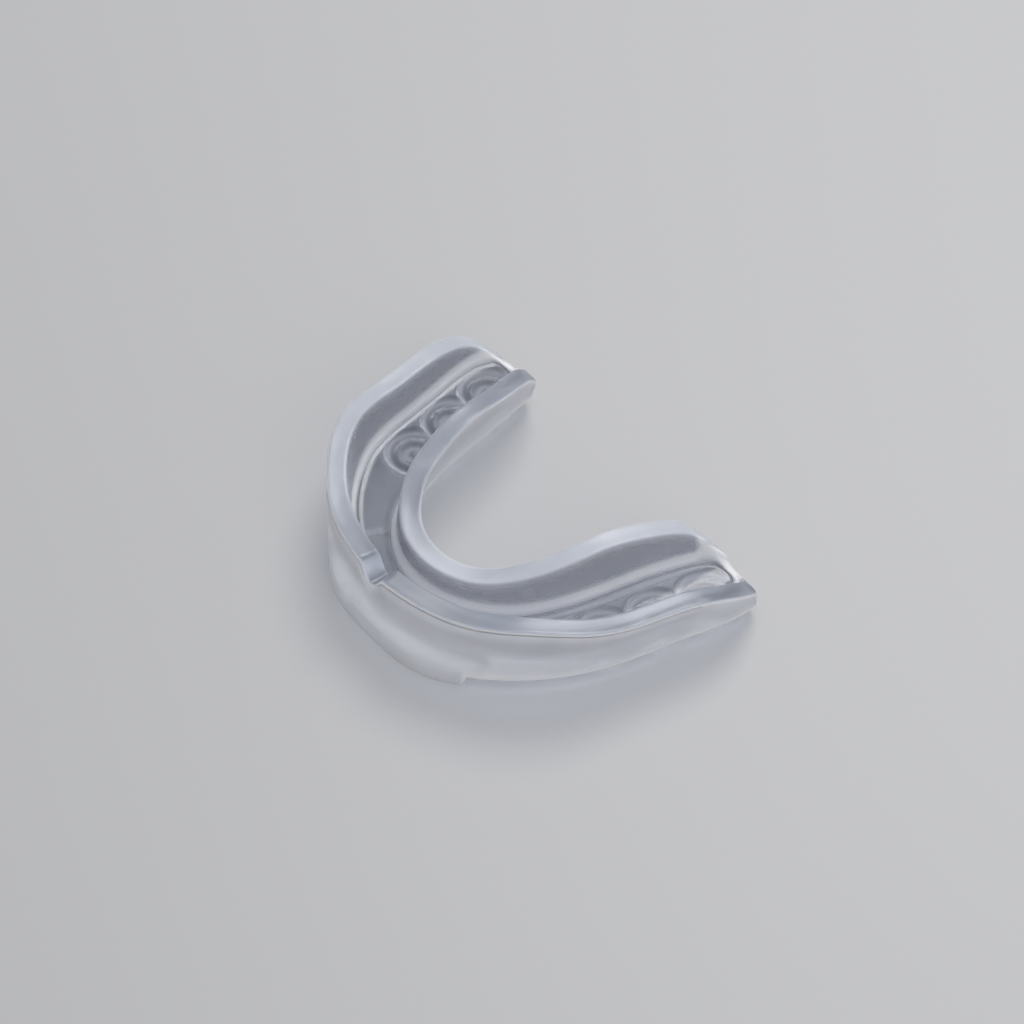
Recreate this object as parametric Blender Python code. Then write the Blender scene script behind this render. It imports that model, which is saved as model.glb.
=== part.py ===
"""Boil-and-bite sports mouthguard for the upper teeth, lying channel up on its bite pads.

The tray is a U-shaped channel: a floor between a labial wall that faces the lips and cheeks and a
lower lingual wall that faces the tongue. Under the floor are one front bite pad and three round
ring pads on each side. Front is -Y, the open end of the U is +Y, and z = 0 is the resting plane.
"""

import math
from collections import namedtuple

import bmesh
import bpy
import numpy as np

MM = 0.001

# Driving dimensions, in millimetres.
GAP = 0.3  # between the tray and each pad, and between neighbouring pads
PAD_DEPTH = 1.2  # how far the pads stand below the floor's underside
FLOOR = 3.4  # thickness of the tray's floor
WALL = 2.9  # width of the flat rim on top of either wall
INNER_DRAFT = 0.6  # how far either wall's inside face leans into the channel on its way down
FLOOR_FILLET = 1.3  # radius where a wall meets the floor
FLOOR_BELOW_RIM = 0.5  # least depth of the channel, where the labial rim comes down at the heel
EDGE_RADIUS = 1.0  # lower outside edges of the tray
RIM_CHAMFER = 0.25  # outside edges of the rims
NOTCH_DEPTH = 2.6  # frenum notch in the labial rim, at the midline
NOTCH_HALF_WIDTH = 2.3
HEEL_LENGTH = 0.9  # of the tray's rounded end, behind the last station
HEEL_RADIUS = 1.5  # rounding of that end's corners, seen from above
HEEL_DROP = 0.22  # share of its height that the end loses over that length
LIP_START = 3.1  # distance from a rear ring pad's centre where the channel's closed end starts to rise
LIP_RISE = 1.5  # distance over which it rises to a lip that joins the two rims
LIP_BEHIND = 1.0  # the lip keeps at least this far behind that centre
LIP_TAPER = 2.0  # and comes to its full height over this distance
ARCH_SHIFT = -23.3  # moves the arch so that the origin is under the middle of the object

RING_PAD_RADIUS = 4.4
RING_WIDTH = 1.1  # of the raised ring, from the pad's edge
GROOVE_DEPTH = 0.5
DOME_RADIUS = 1.8
RING_SIDES = 40
RING_PADS = {"front": (20.1, 25.1), "middle": (21.8, 32.4), "rear": (23.2, 39.7)}

FRONT_PAD_END = 1.95  # how far round the arch the front pad reaches, in stations from the midline
FRONT_PAD_SLANT = 0.06  # how much further it reaches, in stations for each millimetre towards the tongue
FRONT_PAD_INSET = 1.2  # from the tray's lingual lower edge

SPANS = 4  # sections between two stations
NOTCH_STEPS = [0.0625, 0.125, 0.1875, 0.3125, 0.375]  # extra sections beside the notch's bottom
LIP_STEPS = [7.375, 7.625, 7.875]  # extra sections where the lip bends most
HEEL_SPANS = 4
RIM_POINT = 8  # index of the rim's inside edge in a wall's profile

# Sections of the tray on the right-hand side, from the midline to the heel. x and y place the
# section's centre on the arch. outer and inner are the distances from there to the tray's lower
# edges, and the leans and heights place the outside edges of the two rims from those.
Station = namedtuple("Station", "x y outer inner outer_lean inner_lean outer_height inner_height")
STATIONS = [
    Station(0.0, 5.2, 3.0, 7.2, -0.5, 1.2, 11.0, 8.0),
    Station(6.2, 6.6, 4.1, 6.8, -1.0, 1.3, 10.9, 8.0),
    Station(11.5, 10.2, 4.7, 5.9, 0.0, 1.7, 10.8, 8.2),
    Station(15.5, 15.2, 5.2, 4.8, 1.3, 2.4, 11.4, 9.2),
    Station(18.3, 21.2, 5.7, 4.4, 2.2, 2.9, 10.7, 10.2),
    Station(20.4, 27.4, 5.5, 4.6, 2.0, 3.2, 9.5, 10.9),
    Station(22.0, 33.8, 5.1, 5.0, 2.0, 3.1, 9.1, 10.0),
    Station(23.1, 40.0, 5.3, 4.9, 1.6, 2.4, 6.9, 8.3),
    Station(23.3, 43.5, 5.1, 4.6, 0.0, 1.2, 3.2, 5.4),
]
LAST = len(STATIONS) - 1


def clear_scene():
    for obj in list(bpy.data.objects):
        bpy.data.objects.remove(obj, do_unlink=True)


def spline(values, odd):
    """A smooth cubic curve through the stations' values, mirrored past the midline."""
    mirrored = [-v if odd else v for v in values[:0:-1]]
    points = np.array(mirrored + list(values))
    count = len(points)
    matrix = np.eye(count)
    right = np.zeros(count)
    for i in range(1, count - 1):
        matrix[i, i - 1 : i + 2] = (1, 4, 1)
        right[i] = 6 * (points[i - 1] - 2 * points[i] + points[i + 1])
    bends = np.linalg.solve(matrix, right)

    def at(t):
        where = min(max(t + LAST, 0), count - 1)
        i = min(int(where), count - 2)
        b = where - i
        a = 1 - b
        line = a * points[i] + b * points[i + 1]
        return line + ((a**3 - a) * bends[i] + (b**3 - b) * bends[i + 1]) / 6

    return at


CURVES = {name: spline([getattr(s, name) for s in STATIONS], name == "x") for name in Station._fields}


def station_at(t):
    return Station(**{name: curve(t) for name, curve in CURVES.items()})


def frame_at(t):
    """Centre of the section at t, its outward normal and its tangent towards the right heel."""
    step = 0.01
    low, high = max(t - step, -LAST), min(t + step, LAST)
    dx = CURVES["x"](high) - CURVES["x"](low)
    dy = CURVES["y"](high) - CURVES["y"](low)
    length = math.hypot(dx, dy)
    tangent = (dx / length, dy / length)
    normal = (tangent[1], -tangent[0])
    return (CURVES["x"](t), CURVES["y"](t) + ARCH_SHIFT), normal, tangent


def place(t, offset, height, advance=0.0):
    """A point of the section at t, in metres. height is counted from the floor's underside."""
    centre, normal, tangent = frame_at(t)
    x = centre[0] + normal[0] * offset + tangent[0] * advance
    y = centre[1] + normal[1] * offset + tangent[1] * advance
    return (x * MM, y * MM, (height + PAD_DEPTH) * MM)


def smooth_step(value):
    value = min(max(value, 0.0), 1.0)
    return value * value * (3 - 2 * value)


def notch_depth(t):
    """How far the frenum notch lowers the labial rim at t. Its bottom and shoulders are rounded."""
    away = min(abs(frame_at(t)[0][0]) / NOTCH_HALF_WIDTH, 1.0)
    return NOTCH_DEPTH * (1 + math.cos(math.pi * away)) / 2


def lip_share(t, across):
    """0 in the open channel, rising to 1 at its closed end, which is round about the rear ring pad."""
    centre, normal, _ = frame_at(abs(t))
    x = centre[0] + normal[0] * across - RING_PADS["rear"][0]
    y = centre[1] + normal[1] * across - RING_PADS["rear"][1] - ARCH_SHIFT
    return smooth_step((math.hypot(x, y) - LIP_START) / LIP_RISE) * smooth_step((y - LIP_BEHIND) / LIP_TAPER)


def wall_profile(foot, lean, height, floor, sign):
    """One wall from its outside foot over the rim to the floor, as (offset, height) points."""
    points = []
    for step in range(4):
        angle = math.radians(30 * step)
        across = foot - EDGE_RADIUS * (1 - math.sin(angle))
        points.append((across, EDGE_RADIUS * (1 - math.cos(angle))))
    rim = foot + lean
    for part in (0.35, 0.7):
        points.append((foot + lean * part, EDGE_RADIUS + (height - RIM_CHAMFER - EDGE_RADIUS) * part))
    points.append((rim, height - RIM_CHAMFER))
    points.append((rim - RIM_CHAMFER, height))
    inside = rim - WALL
    points.append((inside, height))
    corner = inside - INNER_DRAFT
    drop = height - floor
    radius = min(FLOOR_FILLET, 0.8 * drop)
    start = (corner + INNER_DRAFT * radius / drop, floor + radius)
    end = (corner - radius, floor)
    points.append(((start[0] + inside) / 2, (start[1] + height) / 2))
    for step in range(5):
        b = step / 4
        a = 1 - b
        across = a * a * start[0] + 2 * a * b * corner + b * b * end[0]
        up = a * a * start[1] + 2 * a * b * floor + b * b * end[1]
        points.append((across, up))
    return [(sign * across, up) for across, up in points]


def section(t, narrow=1.0):
    """Closed outline of the tray at t, as (offset, height) points. narrow scales its width."""
    s = station_at(abs(t))
    outer_height = s.outer_height - notch_depth(t)
    floor = min(FLOOR, s.outer_height - FLOOR_BELOW_RIM)
    labial = wall_profile(s.outer, s.outer_lean, outer_height, floor, 1)
    lingual = wall_profile(s.inner, s.inner_lean, s.inner_height, floor, -1)
    closed = []
    left, right = lingual[RIM_POINT], labial[RIM_POINT]
    for i, (across, up) in enumerate(labial + lingual[::-1]):
        if RIM_POINT < i < 2 * len(labial) - 1 - RIM_POINT:
            lip = left[1] + (right[1] - left[1]) * (across - left[0]) / (right[0] - left[0])
            up += (lip - up) * lip_share(t, across)
        closed.append((across * narrow, up))
    return closed


def loft(name, rings):
    """One closed body through outlines of equal length, capped at both ends."""
    mesh = bmesh.new()
    loops = [[mesh.verts.new(point) for point in ring] for ring in rings]
    count = len(rings[0])
    for one, two in zip(loops, loops[1:]):
        for i in range(count):
            j = (i + 1) % count
            mesh.faces.new((one[i], one[j], two[j], two[i]))
    mesh.faces.new(loops[0][::-1])
    mesh.faces.new(loops[-1])
    bmesh.ops.recalc_face_normals(mesh, faces=mesh.faces)
    data = bpy.data.meshes.new(name)
    mesh.to_mesh(data)
    mesh.free()
    return data


def material(name, colour, roughness):
    made = bpy.data.materials.new(name)
    made.use_nodes = True
    shader = made.node_tree.nodes["Principled BSDF"]
    shader.inputs["Base Color"].default_value = (*colour, 1)
    shader.inputs["Roughness"].default_value = roughness
    shader.inputs["Metallic"].default_value = 0
    shader.inputs["Transmission Weight"].default_value = 0.6
    return made


def add(name, data, look):
    data.materials.append(look)
    data.shade_smooth()
    data.set_sharp_from_angle(angle=math.radians(35))
    obj = bpy.data.objects.new(name, data)
    bpy.context.scene.collection.objects.link(obj)
    return obj


def heel_sections(side):
    """The rounded end of one arm, as a quarter ellipse that narrows the last section."""
    half = (STATIONS[-1].outer + STATIONS[-1].inner) / 2
    sections = []
    for step in range(1, HEEL_SPANS + 1):
        angle = math.radians(90) * step / (HEEL_SPANS + 0.3)
        narrow = 1 - HEEL_RADIUS * (1 - math.cos(angle)) / half
        advance = side * HEEL_LENGTH * math.sin(angle)
        lower = 1 - HEEL_DROP * math.sin(angle)
        outline = section(side * LAST, narrow)
        sections.append([place(side * LAST, across, up * lower, advance) for across, up in outline])
    return sections


def channel_tray():
    steps = [i / SPANS for i in range(-LAST * SPANS, LAST * SPANS + 1)]
    for t in NOTCH_STEPS + LIP_STEPS:
        steps += [-t, t]
    steps.sort()
    body = [[place(t, across, up) for across, up in section(t)] for t in steps]
    rings = heel_sections(-1)[::-1] + body + heel_sections(1)
    return add("channel_tray", loft("channel_tray", rings), material("tray_clear", (0.80, 0.84, 0.92), 0.35))


def front_bite_pad():
    top = PAD_DEPTH - GAP
    soft = 0.25
    rings = []
    count = 2 * round(FRONT_PAD_END * SPANS * 1.5)
    for i in range(count + 1):
        share = 2 * i / count - 1
        s = station_at(abs(FRONT_PAD_END * share))
        outer = s.outer - EDGE_RADIUS * 0.35
        inner = -(s.inner - FRONT_PAD_INSET)
        outline = [
            (outer, top),
            (outer, soft),
            (outer - soft, 0),
            (inner + soft, 0),
            (inner, soft),
            (inner, top),
        ]
        ring = []
        for across, up in outline:
            reach = FRONT_PAD_END + FRONT_PAD_SLANT * (outer - across)
            ring.append(place(reach * share, across, up - PAD_DEPTH))
        rings.append(ring)
    look = material("pad_clear", (0.76, 0.81, 0.90), 0.40)
    return add("front_bite_pad", loft("front_bite_pad", rings), look)


def ring_profile():
    """Underside of a ring pad from its edge to its centre, as (radius, height) points."""
    slope = 0.25
    return [
        (RING_PAD_RADIUS, PAD_DEPTH - GAP),
        (RING_PAD_RADIUS, slope),
        (RING_PAD_RADIUS - slope, 0),
        (RING_PAD_RADIUS - RING_WIDTH, 0),
        (RING_PAD_RADIUS - RING_WIDTH - slope, GROOVE_DEPTH),
        (DOME_RADIUS + slope, GROOVE_DEPTH),
        (DOME_RADIUS, slope),
        (0.55 * DOME_RADIUS, 0),
    ]


def ring_pad(side, place_name):
    """A turned pad, cut flat where it would run into its neighbours."""
    centre = np.array(RING_PADS[place_name])
    others = [np.array(c) for n, c in RING_PADS.items() if n != place_name]
    mesh = bmesh.new()
    loops = []
    for radius, height in ring_profile():
        loop = []
        for i in range(RING_SIDES):
            angle = 2 * math.pi * i / RING_SIDES
            way = np.array((math.cos(angle), math.sin(angle)))
            reach = radius
            for other in others:
                apart = np.linalg.norm(other - centre)
                facing = float(way @ (other - centre)) / apart
                if facing * reach > apart / 2 - GAP / 2:
                    reach = (apart / 2 - GAP / 2) / facing
            point = centre + way * reach
            loop.append(mesh.verts.new((side * point[0] * MM, (point[1] + ARCH_SHIFT) * MM, height * MM)))
        loops.append(loop)
    for one, two in zip(loops, loops[1:]):
        for i in range(RING_SIDES):
            j = (i + 1) % RING_SIDES
            mesh.faces.new((one[i], one[j], two[j], two[i]))
    mesh.faces.new(loops[0])
    mesh.faces.new(loops[-1])
    bmesh.ops.remove_doubles(mesh, verts=mesh.verts, dist=0.001 * MM)
    bmesh.ops.recalc_face_normals(mesh, faces=mesh.faces)
    side_name = "right" if side > 0 else "left"
    name = f"ring_pad_{side_name}_{place_name}"
    data = bpy.data.meshes.new(name)
    mesh.to_mesh(data)
    mesh.free()
    return add(name, data, material(f"{name}_clear", (0.76, 0.81, 0.90), 0.40))


def main():
    clear_scene()
    channel_tray()
    front_bite_pad()
    for side in (-1, 1):
        for place_name in RING_PADS:
            ring_pad(side, place_name)


main()
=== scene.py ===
"""Looks for the sports mouthguard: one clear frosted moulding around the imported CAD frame."""

import math
from collections import namedtuple

import bmesh
import bpy
import numpy as np
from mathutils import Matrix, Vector


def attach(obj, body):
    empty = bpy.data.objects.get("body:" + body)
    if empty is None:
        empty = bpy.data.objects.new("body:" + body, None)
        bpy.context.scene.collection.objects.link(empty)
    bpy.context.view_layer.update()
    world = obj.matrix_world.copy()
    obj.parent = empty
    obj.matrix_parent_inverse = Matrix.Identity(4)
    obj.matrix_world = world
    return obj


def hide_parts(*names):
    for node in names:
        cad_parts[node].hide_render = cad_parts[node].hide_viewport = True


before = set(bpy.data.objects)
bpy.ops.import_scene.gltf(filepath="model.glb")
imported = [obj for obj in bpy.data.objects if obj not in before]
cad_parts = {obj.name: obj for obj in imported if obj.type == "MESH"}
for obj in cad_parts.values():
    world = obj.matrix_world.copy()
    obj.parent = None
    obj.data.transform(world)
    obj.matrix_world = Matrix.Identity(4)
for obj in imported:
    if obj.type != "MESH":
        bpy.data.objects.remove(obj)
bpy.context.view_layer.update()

MM = 0.001

# Dimensions of the moulding, in millimetres unless stated. They are the CAD model's, except that
# FLOOR_FILLET is slightly larger here and that only this model uses RING_RADIUS and STATION_LENGTH.
PAD_DEPTH = 1.2
FLOOR = 3.4
WALL = 2.9
INNER_DRAFT = 0.6
FLOOR_FILLET = 1.4
FLOOR_BELOW_RIM = 0.5
EDGE_RADIUS = 1.0
NOTCH_DEPTH = 2.6
NOTCH_HALF_WIDTH = 2.3
HEEL_LENGTH = 0.9
HEEL_RADIUS = 1.5
HEEL_DROP = 0.22  # share of its height that a heel loses
LIP_START = 3.1
LIP_RISE = 1.5
LIP_BEHIND = 1.0
LIP_TAPER = 2.0
ARCH_SHIFT = -23.3
RING_PADS = [(20.1, 25.1), (21.8, 32.4), (23.2, 39.7)]
RING_PAD_RADIUS = 4.4
RING_RADIUS = 3.7
FRONT_PAD_END = 1.95  # in stations
FRONT_PAD_SLANT = 0.06  # stations per millimetre
FRONT_PAD_INSET = 1.2
STATION_LENGTH = 6.8  # of the arch's centre line near the front pad's ends

Station = namedtuple("Station", "x y outer inner outer_lean inner_lean outer_height inner_height")
STATIONS = [
    Station(0.0, 5.2, 3.0, 7.2, -0.5, 1.2, 11.0, 8.0),
    Station(6.2, 6.6, 4.1, 6.8, -1.0, 1.3, 10.9, 8.0),
    Station(11.5, 10.2, 4.7, 5.9, 0.0, 1.7, 10.8, 8.2),
    Station(15.5, 15.2, 5.2, 4.8, 1.3, 2.4, 11.4, 9.2),
    Station(18.3, 21.2, 5.7, 4.4, 2.2, 2.9, 10.7, 10.2),
    Station(20.4, 27.4, 5.5, 4.6, 2.0, 3.2, 9.5, 10.9),
    Station(22.0, 33.8, 5.1, 5.0, 2.0, 3.1, 9.1, 10.0),
    Station(23.1, 40.0, 5.3, 4.9, 1.6, 2.4, 6.9, 8.3),
    Station(23.3, 43.5, 5.1, 4.6, 0.0, 1.2, 3.2, 5.4),
]
LAST = len(STATIONS) - 1

# Finer shaping that only this model has, in millimetres.
RIM_ROUND = 0.28
RIM_SAG = 0.05  # how far the middle of a rim lies below its edges
SEAM_BELOW_RIM = 0.9
SEAM_STEP = 0.07
FILLET_LIMIT = 0.8  # of the inner face's height
KEEP_INSIDE = 0.9985  # scale that keeps this finer surface inside the CAD model's box
CAP_INSET = 0.96  # size of each end cap's evenly frosted middle

# Profile of the pads, in millimetres. Each edge has the width over which it is softened.
FRONT_END_SOFT = 0.5
FRONT_BACK_SOFT = 0.35
BOSS_EDGE = RING_PAD_RADIUS + 0.1
BOSS_SOFT = 1.1
GROOVE_OUTER = RING_RADIUS - 0.5
GROOVE_OUTER_SOFT = 0.9
GROOVE_INNER = 1.2
GROOVE_INNER_SOFT = 1.1
GROOVE_DEPTH = 0.25
DIMPLE_EDGE = 0.9
DIMPLE_SOFT = 0.8
DIMPLE_DEPTH = 0.12

# Rows and sections of the skin.
FOOT_STEPS = 8
BELOW_SEAM = 6  # rows of an outside face up to the seam
SEAM_RISES = (0.02, 0.06)  # rows just above the seam, as shares of the face's height
ABOVE_SEAM = (0.5, 1.0)  # the rows after them, as shares of the way from the seam to the rim
FACE_STEPS = BELOW_SEAM + len(SEAM_RISES) + len(ABOVE_SEAM)
ROUND_STEPS = 4
LAND_STEPS = 8
INNER_STEPS = 10
FILLET_STEPS = 10
FLOOR_STEPS = 14
UNDER_STEPS = 84
RIM_INSIDE = FOOT_STEPS + FACE_STEPS + ROUND_STEPS + LAND_STEPS  # row of a rim's inside edge
RING_START = 4.1  # the station where the sections get closer together
FRONT_SECTIONS = 88
RING_SECTIONS = 142
HEEL_SECTIONS = 12
HEEL_SHORT = 0.2  # of a step, by which the last heel section stops before the quarter turn
NEARLY_ZERO = 0.001
FOOT_TOP = 1.001 * EDGE_RADIUS

BODY, LAND, UNDER = 0, 1, 2  # zones of the skin, which are also the material slots

# Share of milky scattering in the skin, by place; on some rims part of it is painted light.
OUTER_FROST = 0.72
UNDER_FROST = 0.04
LAND_FROST = 0.20  # on the rims of walls whose outside faces TOWARD_CAMERA
# Painted light: the rims of walls that face away from the camera get more frost, so they look lit from
# behind; the plastic there is the same.
LAND_PAINTED_LIGHT = 0.45  # more on the rims of walls that face the other way
LAND_TURN = 0.6  # how fast the rims change from one to the other
EDGE_FROST = 0.50
BAND_FROST = 1.0
LEAF_FROST = 0.18
FLOOR_FROST = 0.06
RING_FROST = 1.0
TOWARD_CAMERA = np.array((0.787, -0.617))

# Where the frost changes on the inner faces, in millimetres, and on the fillet, in shares of it.
LEAF_BELOW_RIM = 0.3
LEAF_SOFT = 1.3
BAND_OVERLAP = 0.2
BAND_SOFT = 1.2
BAND_FADE = 0.25
BAND_FADE_WIDTH = 0.6

# Milky lines on the underside: their spread in millimetres and, for the dome, their share.
RING_LINE = 0.32
PAD_END_LINE = 0.45
DOME_RADIUS = 1.1
DOME_LINE = 0.42
DOME_SHARE = 0.55
DOME_MIDDLE_LINE = 0.8
DOME_MIDDLE_SHARE = 0.15

# One material for each zone: name, colour where clear, colour where milky, roughness where
# clear, roughness where milky, and strength of the fine grain.
MATERIALS = [
    ("frosted_skin", (0.30, 0.32, 0.37), (0.95, 0.95, 0.98), 0.14, 0.50, 0.3),
    ("polished_rim", (0.38, 0.42, 0.50), (0.88, 0.90, 0.96), 0.25, 0.45, 0.2),
    ("matt_underside", (0.20, 0.215, 0.25), (0.97, 0.97, 0.99), 0.28, 0.55, 0.3),
]
SHADOW_CLEAR = (0.68, 0.70, 0.74, 1)
SHADOW_FROSTED = (0.60, 0.62, 0.66, 1)
TRANSMISSION_CLEAR = 0.98
TRANSMISSION_MILKY = 0.08
IOR = 1.48
SUBSURFACE_WEIGHT = 0.6
SUBSURFACE_RADIUS = (0.8, 0.9, 1.0)
SUBSURFACE_SCALE = 0.0015
GRAIN_SCALE = 4200.0
WAVE_SCALE = 260.0
WAVE_STRENGTH = 0.2
BUMP_DISTANCE = 0.00003
UNEVEN_RANGE = (0.3, 0.7)  # of the broad noise
UNEVEN_FROST = 0.03  # how much frost it adds or takes away

# The stage, in metres and watts.
STAGE_HALF = 1.2
STAGE_LEVEL = -0.00002
STAGE_COLOUR = (0.50, 0.50, 0.51, 1)
STAGE_ROUGHNESS = 0.5
WORLD_COLOUR = (0.96, 0.97, 1.0, 1)
WORLD_STRENGTH = 0.40
LAMPS = [
    ("key", (-0.25, 0.45, 0.75), 0.5, 5.0),
    ("fill", (0.7, -0.2, 0.5), 0.6, 1.5),
]

# The camera, in degrees and metres, with the lens in millimetres.
AZIMUTH = 51.9
ELEVATION = 47.8
DISTANCE = 0.5936
LENS = 158.9
SENSOR_WIDTH = 36
CLIP_START = 0.01
AIM = (0, 0.0032, 0.0012)
AIM_LEFT = 0.000548
AIM_UP = 0.003972


def smooth(value):
    """0 below 0, 1 above 1 and an S-shaped step between."""
    value = np.clip(value, 0.0, 1.0)
    return value * value * (3 - 2 * value)


def bell(distance, spread):
    """1 at no distance, falling to nothing beyond the spread."""
    return np.exp(-((distance / spread) ** 2))


def quarter(first, steps):
    """Share, cosine and sine of even steps of a quarter turn."""
    for step in range(first, steps + 1):
        angle = math.radians(90) * step / steps
        yield step / steps, math.cos(angle), math.sin(angle)


def between(start, end, steps):
    """The evenly spaced values strictly between start and end."""
    return [start + (end - start) * i / steps for i in range(1, steps)]


def spline(values, odd):
    """A smooth cubic curve through the stations' values, mirrored past the midline."""
    mirrored = [-v if odd else v for v in values[:0:-1]]
    points = np.array(mirrored + list(values))
    count = len(points)
    matrix = np.eye(count)
    right = np.zeros(count)
    for i in range(1, count - 1):
        matrix[i, i - 1 : i + 2] = (1, 4, 1)
        right[i] = 6 * (points[i - 1] - 2 * points[i] + points[i + 1])
    bends = np.linalg.solve(matrix, right)

    def at(t):
        where = min(max(t + LAST, 0), count - 1)
        i = min(int(where), count - 2)
        b = where - i
        a = 1 - b
        line = a * points[i] + b * points[i + 1]
        return line + ((a**3 - a) * bends[i] + (b**3 - b) * bends[i + 1]) / 6

    return at


CURVES = {name: spline([getattr(s, name) for s in STATIONS], name == "x") for name in Station._fields}


def frame_at(t):
    """Centre of the section at t, its outward normal and its tangent towards the right heel."""
    step = 0.01
    low, high = max(t - step, -LAST), min(t + step, LAST)
    dx = CURVES["x"](high) - CURVES["x"](low)
    dy = CURVES["y"](high) - CURVES["y"](low)
    length = math.hypot(dx, dy)
    tangent = np.array((dx / length, dy / length))
    normal = np.array((tangent[1], -tangent[0]))
    return np.array((CURVES["x"](t), CURVES["y"](t))), normal, tangent


def notch_depth(x):
    """How far the frenum notch lowers the labial rim at x. Its bottom and shoulders are rounded."""
    away = min(abs(x) / NOTCH_HALF_WIDTH, 1.0)
    return NOTCH_DEPTH * (1 + math.cos(math.pi * away)) / 2


def outside_rows(foot, lean, top, seam_step):
    """A wall's outside, from its foot up to the rounding of the rim."""
    rows = []
    for share, cosine, sine in quarter(0, FOOT_STEPS):
        frost = UNDER_FROST + (1 - UNDER_FROST) * min(2 * share, 1.0)
        rows.append((foot - EDGE_RADIUS * (1 - sine), EDGE_RADIUS * (1 - cosine), BODY, frost))
    seam_at = 1 - min(SEAM_BELOW_RIM / (top - EDGE_RADIUS), 0.5)
    face = [(seam_at * i / BELOW_SEAM, 0.0) for i in range(1, BELOW_SEAM + 1)]
    face += [(seam_at + rise, seam_step) for rise in SEAM_RISES]
    face += [(seam_at + (1 - seam_at) * share, seam_step) for share in ABOVE_SEAM]
    for part, inset in face:
        frost = OUTER_FROST + (1 - OUTER_FROST) * (2 * part - 1) ** 4
        rows.append((foot + lean * part - inset, EDGE_RADIUS + (top - EDGE_RADIUS) * part, BODY, frost))
    return rows


def rim_rows(rim, inside, slope, height, frost):
    """A wall's rim: its outer rounding, its nearly flat top and its inner rounding."""
    rows = []
    for share, cosine, sine in quarter(1, ROUND_STEPS):
        up = height - RIM_ROUND + RIM_ROUND * sine
        rows.append((rim - RIM_ROUND * (1 - cosine), up, LAND, 1 - (1 - frost) * share))
    width = inside + RIM_ROUND - rim + RIM_ROUND
    for step in range(1, LAND_STEPS):
        part = step / LAND_STEPS
        up = height - RIM_SAG * math.sin(math.pi * part)
        rows.append((rim - RIM_ROUND + width * part, up, LAND, frost))
    for share, cosine, sine in quarter(0, ROUND_STEPS):
        down = RIM_ROUND * (1 - cosine)
        across = inside + RIM_ROUND * (1 - sine) + slope * down
        rows.append((across, height - down, LAND, frost + (EDGE_FROST - frost) * share))
    return rows


def inside_rows(inside, slope, height, floor):
    """A wall's inner face, with its clear leaf and milky band, and the fillet to the floor."""
    rows = []
    corner = inside - INNER_DRAFT
    drop = height - floor
    radius = min(FLOOR_FILLET, FILLET_LIMIT * drop)
    face_top = (inside + slope * RIM_ROUND, height - RIM_ROUND)
    start = (corner + INNER_DRAFT * radius / drop, floor + radius)
    end = (corner - radius, floor)
    for step in range(1, INNER_STEPS):
        part = step / INNER_STEPS
        across = face_top[0] + (start[0] - face_top[0]) * part
        up = face_top[1] + (start[1] - face_top[1]) * part
        leaf = smooth((height - up - LEAF_BELOW_RIM) / LEAF_SOFT)
        band = 1 - smooth((up - start[1] + BAND_OVERLAP) / BAND_SOFT)
        frost = EDGE_FROST + (LEAF_FROST - EDGE_FROST) * leaf
        rows.append((across, up, BODY, frost + (BAND_FROST - frost) * band))
    for step in range(FILLET_STEPS + 1):
        b = step / FILLET_STEPS
        a = 1 - b
        across = a * a * start[0] + 2 * a * b * corner + b * b * end[0]
        up = a * a * start[1] + 2 * a * b * floor + b * b * end[1]
        frost = BAND_FROST + (FLOOR_FROST - BAND_FROST) * smooth((b - BAND_FADE) / BAND_FADE_WIDTH)
        rows.append((across, up, BODY, frost))
    return rows


def wall(foot, lean, height, floor, sign, seam_step, normal):
    """One wall from its outside foot over the rim to the floor: (offset, height, zone, frost) rows.

    sign is 1 for the labial wall and -1 for the lingual one. normal is the section's outward
    direction in plan.
    """
    # The rim's own frost, plus painted light on the rims of walls that face away from the camera.
    land_frost_and_light = LAND_FROST + LAND_PAINTED_LIGHT * smooth(0.5 - LAND_TURN * sign * float(normal @ TOWARD_CAMERA))
    inside = foot + lean - WALL
    slope = -INNER_DRAFT / (height - floor)
    rows = outside_rows(foot, lean, height - RIM_ROUND, seam_step)
    rows += rim_rows(foot + lean - seam_step, inside, slope, height, land_frost_and_light)
    rows += inside_rows(inside, slope, height, floor)
    return [(sign * across, up, zone, frost) for across, up, zone, frost in rows]


def relief(x, y, t, offset, s):
    """How far the underside stands down at points of the plan, in millimetres, and its frost."""
    within = (FRONT_PAD_END + FRONT_PAD_SLANT * (s.outer - offset) - abs(t)) * STATION_LENGTH
    ends = smooth(within / FRONT_END_SOFT + 0.5)
    back = smooth((offset + (s.inner - FRONT_PAD_INSET)) / FRONT_BACK_SOFT)
    front = PAD_DEPTH * ends * back
    away = np.stack([np.hypot(np.abs(x) - pad_x, y - pad_y) for pad_x, pad_y in RING_PADS])
    r = away.min(axis=0)
    boss = smooth((BOSS_EDGE - r) / BOSS_SOFT)
    groove = smooth((GROOVE_OUTER - r) / GROOVE_OUTER_SOFT) * smooth((r - GROOVE_INNER) / GROOVE_INNER_SOFT)
    dimple = smooth((DIMPLE_EDGE - r) / DIMPLE_SOFT)
    round_pad = PAD_DEPTH * boss - GROOVE_DEPTH * groove - DIMPLE_DEPTH * dimple
    ring = bell(r - RING_RADIUS, RING_LINE)
    dome = DOME_SHARE * bell(r - DOME_RADIUS, DOME_LINE) + DOME_MIDDLE_SHARE * bell(r, DOME_MIDDLE_LINE)
    end_line = bell(within, PAD_END_LINE) * back
    milk = UNDER_FROST + (RING_FROST - UNDER_FROST) * np.clip(ring + dome + end_line, 0, 1)
    return np.maximum(front, round_pad), milk


def filled(x, y):
    """How far the channel is closed at a point of the plan: 0 in the channel, 1 in the heels."""
    pad_x, pad_y = RING_PADS[-1]
    away = math.hypot(abs(x) - pad_x, y - pad_y)
    return smooth((away - LIP_START) / LIP_RISE) * smooth((y - pad_y - LIP_BEHIND) / LIP_TAPER)


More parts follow.
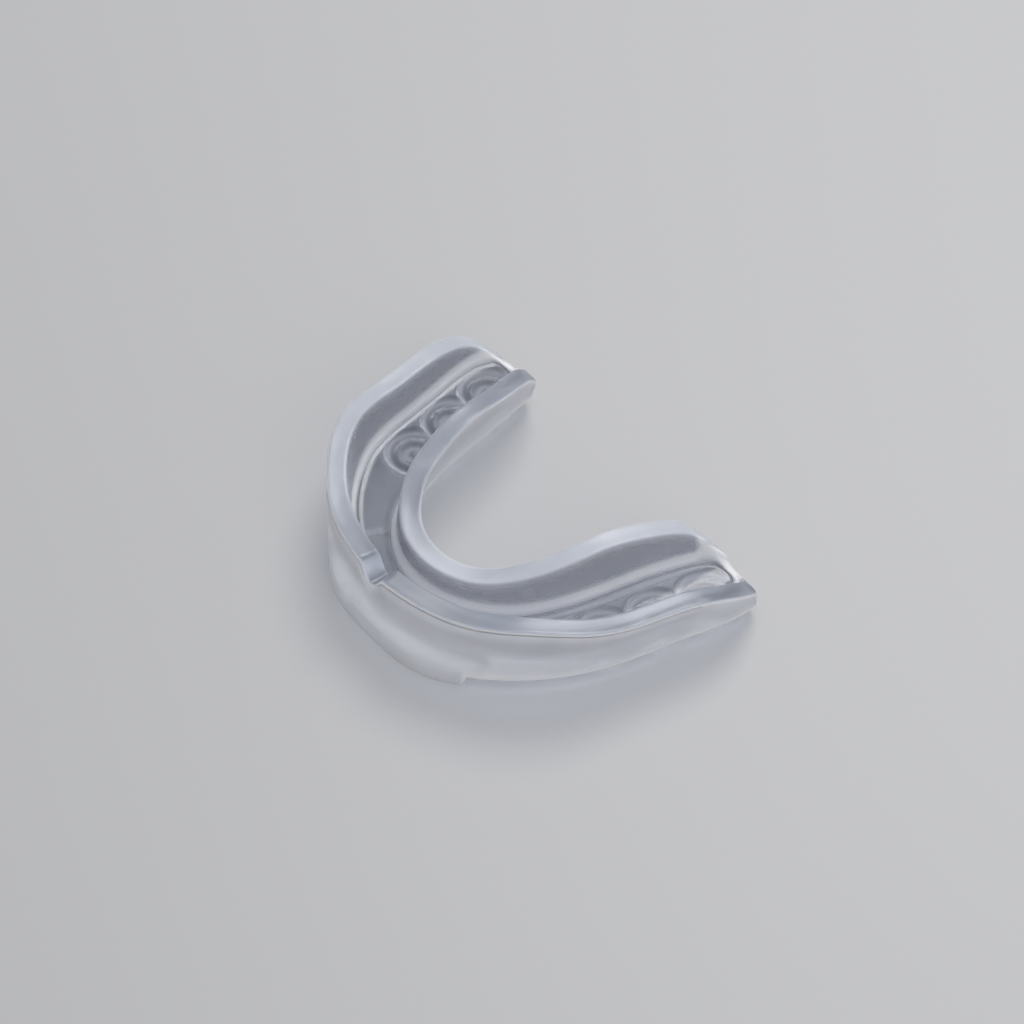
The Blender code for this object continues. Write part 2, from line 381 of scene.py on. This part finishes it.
def outline(t, narrow):
    """The section at t: its points in plan, their height, zone and frost, and the arch's tangent."""
    s = Station(*(CURVES[name](abs(t)) for name in Station._fields))
    centre, normal, tangent = frame_at(t)
    outer_height = s.outer_height - notch_depth(centre[0])
    level = min(FLOOR, s.outer_height - FLOOR_BELOW_RIM)
    labial = wall(s.outer, s.outer_lean, outer_height, level, 1, SEAM_STEP, normal)
    lingual = wall(s.inner, s.inner_lean, s.inner_height, level, -1, 0.0, normal)
    channel = between(labial[-1][0], lingual[-1][0], FLOOR_STEPS)
    top = labial + [(across, level, BODY, FLOOR_FROST) for across in channel] + lingual[::-1]
    inner_edge, outer_edge = lingual[RIM_INSIDE], labial[RIM_INSIDE]
    rows = []
    for i, (across, up, zone, frost) in enumerate(top):
        if RIM_INSIDE < i < len(top) - 1 - RIM_INSIDE:
            fill = filled(*(centre + normal * across))
            share = (across - inner_edge[0]) / (outer_edge[0] - inner_edge[0])
            up += (inner_edge[1] + (outer_edge[1] - inner_edge[1]) * share - up) * fill
            frost += (BAND_FROST - frost) * 4 * fill * (1 - fill)
        rows.append((across, up, zone, frost))
    rows += [(across, 0.0, UNDER, 0.0) for across in between(rows[-1][0], rows[0][0], UNDER_STEPS)]
    data = np.array(rows)
    across, up, zone, frost = data[:, 0] * narrow, data[:, 1], data[:, 2], data[:, 3]
    plan = centre + np.outer(across, normal)
    depth, milk = relief(plan[:, 0], plan[:, 1], t, across, s)
    frost = np.maximum(frost, np.where(up <= NEARLY_ZERO, milk, 0.0))
    up = np.where(up < FOOT_TOP, up * (1 - depth / PAD_DEPTH) - depth, up)
    return plan, up, zone, frost, tangent


def section_points(t, narrow=1.0, lower=1.0, advance=0.0):
    """The section at t in metres with its zones and frost, made smaller and moved on for a heel."""
    plan, up, zone, frost, tangent = outline(t, narrow)
    plan = plan + tangent * advance
    up = up * lower
    points = np.stack([plan[:, 0], plan[:, 1] + ARCH_SHIFT, up + PAD_DEPTH], axis=1) * MM * KEEP_INSIDE
    return points, zone, frost


def heel_sections(end):
    """Sections that round off the heel at one end, 1 right or -1 left, and its cap's middle."""
    half = (STATIONS[-1].outer + STATIONS[-1].inner) / 2
    sections = []
    for step in range(1, HEEL_SECTIONS + 1):
        angle = math.radians(90) * step / (HEEL_SECTIONS + HEEL_SHORT)
        narrow = 1 - HEEL_RADIUS * (1 - math.cos(angle)) / half
        lower = 1 - HEEL_DROP * math.sin(angle)
        advance = end * HEEL_LENGTH * math.sin(angle)
        sections.append(section_points(end * LAST, narrow, lower, advance))
    points, zone, frost = sections[-1]
    middle = points.mean(axis=0)
    sections.append((middle + (points - middle) * CAP_INSET, zone, np.full_like(frost, OUTER_FROST)))
    return sections


def guard_sections():
    """Sections from the left heel to the right one, closer together where the ring pads are."""
    side = list(np.linspace(0, RING_START, FRONT_SECTIONS, endpoint=False))
    side += list(np.linspace(RING_START, LAST, RING_SECTIONS))
    steps = [-t for t in side[:0:-1]] + side
    return heel_sections(-1)[::-1] + [section_points(t) for t in steps] + heel_sections(1)


def loft(name, sections):
    """One closed body through the sections, capped at both ends."""
    mesh = bmesh.new()
    loops = [[mesh.verts.new(point) for point in points] for points, _, _ in sections]
    count = len(loops[0])
    zones = sections[0][1]
    for one, two in zip(loops, loops[1:]):
        for i in range(count):
            j = (i + 1) % count
            face = mesh.faces.new((one[i], one[j], two[j], two[i]))
            face.material_index = int(zones[i]) if zones[i] == zones[j] else BODY
    caps = [mesh.faces.new(loops[0][::-1]), mesh.faces.new(loops[-1])]
    bmesh.ops.recalc_face_normals(mesh, faces=mesh.faces)
    for face in mesh.faces:
        face.smooth = True
    for cap in caps:
        cap.smooth = False
    data = bpy.data.meshes.new(name)
    mesh.to_mesh(data)
    mesh.free()
    frost = data.attributes.new("frost", "FLOAT", "POINT")
    frost.data.foreach_set("value", np.concatenate([f for _, _, f in sections]))
    return data


class Nodes:
    """Short calls for building one node material."""

    def __init__(self, name):
        self.material = bpy.data.materials.new(name)
        self.material.use_nodes = True
        self.tree = self.material.node_tree
        self.shader = self.tree.nodes["Principled BSDF"]

    def add(self, kind, **settings):
        node = self.tree.nodes.new(kind)
        for key, value in settings.items():
            if key in node.inputs:
                node.inputs[key].default_value = value
            else:
                setattr(node, key, value)
        return node

    def link(self, source, target):
        self.tree.links.new(source, target)

    def map_colour(self, factor, first, second):
        node = self.add("ShaderNodeMix", data_type="RGBA")
        sockets = [s for s in node.inputs if s.type == "RGBA"]
        sockets[0].default_value = first
        sockets[1].default_value = second
        self.link(factor, node.inputs[0])
        return [s for s in node.outputs if s.type == "RGBA"][0]

    def map_range(self, source, low, high, to_low, to_high):
        node = self.add("ShaderNodeMapRange")
        for key, value in (("From Min", low), ("From Max", high), ("To Min", to_low), ("To Max", to_high)):
            node.inputs[key].default_value = value
        self.link(source, node.inputs["Value"])
        return node.outputs["Result"]


def clear_material(name, clear_colour, milky_colour, clear_rough, milky_rough, grain):
    """Clear soft plastic whose skin is frosted by place, with a fine uneven grain.

    Lamps shine through it, tinted, so that the inside of the moulding is lit.
    """
    n = Nodes(name)
    place = n.add("ShaderNodeTexCoord").outputs["Object"]
    fine = n.add("ShaderNodeTexNoise", Scale=GRAIN_SCALE, Detail=2.0)
    broad = n.add("ShaderNodeTexNoise", Scale=WAVE_SCALE, Detail=1.0)
    n.link(place, fine.inputs["Vector"])
    n.link(place, broad.inputs["Vector"])
    frost = n.add("ShaderNodeAttribute", attribute_name="frost").outputs["Fac"]
    uneven = n.map_range(broad.outputs["Fac"], *UNEVEN_RANGE, -UNEVEN_FROST, UNEVEN_FROST)
    total = n.add("ShaderNodeMath", operation="ADD")
    n.link(frost, total.inputs[0])
    n.link(uneven, total.inputs[1])
    share = total.outputs[0]
    transmission = n.map_range(share, 0.0, 1.0, TRANSMISSION_CLEAR, TRANSMISSION_MILKY)
    n.link(transmission, n.shader.inputs["Transmission Weight"])
    n.link(n.map_range(share, 0.0, 1.0, clear_rough, milky_rough), n.shader.inputs["Roughness"])
    bump = n.add("ShaderNodeBump", Strength=grain, Distance=BUMP_DISTANCE)
    n.link(fine.outputs["Fac"], bump.inputs["Height"])
    wavy = n.add("ShaderNodeBump", Strength=WAVE_STRENGTH, Distance=BUMP_DISTANCE)
    n.link(broad.outputs["Fac"], wavy.inputs["Height"])
    n.link(bump.outputs["Normal"], wavy.inputs["Normal"])
    n.link(wavy.outputs["Normal"], n.shader.inputs["Normal"])
    n.link(n.map_colour(share, (*clear_colour, 1), (*milky_colour, 1)), n.shader.inputs["Base Color"])
    n.shader.inputs["IOR"].default_value = IOR
    n.shader.inputs["Subsurface Weight"].default_value = SUBSURFACE_WEIGHT
    n.shader.inputs["Subsurface Radius"].default_value = SUBSURFACE_RADIUS
    n.shader.inputs["Subsurface Scale"].default_value = SUBSURFACE_SCALE
    clear = n.add("ShaderNodeBsdfTransparent")
    n.link(n.map_colour(share, SHADOW_CLEAR, SHADOW_FROSTED), clear.inputs["Color"])
    mix = n.add("ShaderNodeMixShader")
    n.link(n.add("ShaderNodeLightPath").outputs["Is Shadow Ray"], mix.inputs["Fac"])
    n.link(n.shader.outputs[0], mix.inputs[1])
    n.link(clear.outputs[0], mix.inputs[2])
    n.link(mix.outputs[0], n.tree.nodes["Material Output"].inputs["Surface"])
    return n.material


def make_guard():
    data = loft("mouthguard_moulding", guard_sections())
    for settings in MATERIALS:
        data.materials.append(clear_material(*settings))
    guard = bpy.data.objects.new("mouthguard_moulding", data)
    bpy.context.scene.collection.objects.link(guard)
    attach(guard, "root")
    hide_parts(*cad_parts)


def make_floor():
    mesh = bmesh.new()
    corners = [(-1, -1), (1, -1), (1, 1), (-1, 1)]
    mesh.faces.new([mesh.verts.new((x * STAGE_HALF, y * STAGE_HALF, STAGE_LEVEL)) for x, y in corners])
    data = bpy.data.meshes.new("floor")
    mesh.to_mesh(data)
    mesh.free()
    n = Nodes("pale_floor")
    n.shader.inputs["Base Color"].default_value = STAGE_COLOUR
    n.shader.inputs["Roughness"].default_value = STAGE_ROUGHNESS
    data.materials.append(n.material)
    floor = bpy.data.objects.new("floor", data)
    bpy.context.scene.collection.objects.link(floor)


def make_lamp(name, place, size, power):
    """A round lamp at the place, aimed at the middle of the floor."""
    lamp = bpy.data.lights.new(name, "AREA")
    lamp.shape = "DISK"
    lamp.size = size
    lamp.energy = power
    obj = bpy.data.objects.new(name, lamp)
    bpy.context.scene.collection.objects.link(obj)
    obj.location = place
    obj.rotation_euler = (-Vector(place)).to_track_quat("-Z", "Y").to_euler()


def make_lights():
    for settings in LAMPS:
        make_lamp(*settings)
    world = bpy.data.worlds.new("studio")
    bpy.context.scene.world = world
    world.use_nodes = True
    background = world.node_tree.nodes["Background"]
    background.inputs["Color"].default_value = WORLD_COLOUR
    background.inputs["Strength"].default_value = WORLD_STRENGTH


def make_camera():
    """Looks down at the guard from beyond its right front, as the photograph does."""
    azimuth, elevation = math.radians(AZIMUTH), math.radians(ELEVATION)
    turn_x, turn_y = -math.sin(azimuth), math.cos(azimuth)
    rise, run = math.sin(elevation), math.cos(elevation)
    right = Vector((math.cos(azimuth), math.sin(azimuth), 0))
    up = Vector((turn_x * rise, turn_y * rise, run))
    ahead = Vector((turn_x * run, turn_y * run, -rise))
    aim = Vector(AIM) - right * AIM_LEFT + up * AIM_UP
    camera = bpy.data.cameras.new("camera")
    camera.lens = LENS
    camera.sensor_width = SENSOR_WIDTH
    camera.clip_start = CLIP_START
    obj = bpy.data.objects.new("camera", camera)
    bpy.context.scene.collection.objects.link(obj)
    obj.location = aim - ahead * DISTANCE
    obj.rotation_euler = ahead.to_track_quat("-Z", "Y").to_euler()
    bpy.context.scene.camera = obj


make_guard()
make_floor()
make_lights()
make_camera()
bpy.context.scene.view_settings.view_transform = "Standard"
